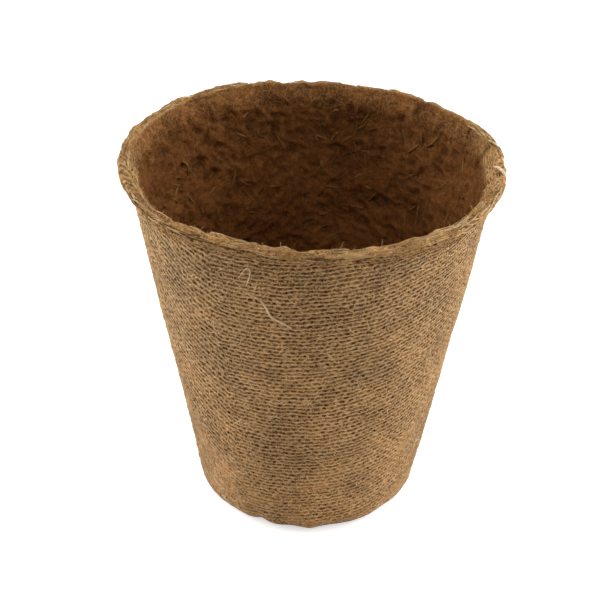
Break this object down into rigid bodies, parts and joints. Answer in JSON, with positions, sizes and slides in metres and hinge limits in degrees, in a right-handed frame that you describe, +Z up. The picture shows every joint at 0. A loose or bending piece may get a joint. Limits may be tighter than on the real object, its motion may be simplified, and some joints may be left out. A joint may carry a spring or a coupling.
{
  "type": "peat pot",
  "caption": "Round tapered seedling pot of felted peat and wood fibre, with a flared lip, a rounded heel and a flat floor; holds potting soil and a young plant.",
  "frame": {"origin": "centre of the underside of the floor, on the ground", "axes": "+Z up the pot's axis and out of its mouth, -Y the side that the picture shows"},
  "size_m": [0.08, 0.08, 0.08],
  "materials": {
    "felt": "matt screen-marked peat and wood fibre felt",
    "lip_felt": "matt torn felt edge, ochre",
    "straw": "pale dry straw"
  },
  "bodies": {
    "root": {"floor": "felt", "side_wall": "felt", "rim_lip": "lip_felt", "long_fibre": "straw", "loop_fibre": "straw"}
  },
  "joints": []
}
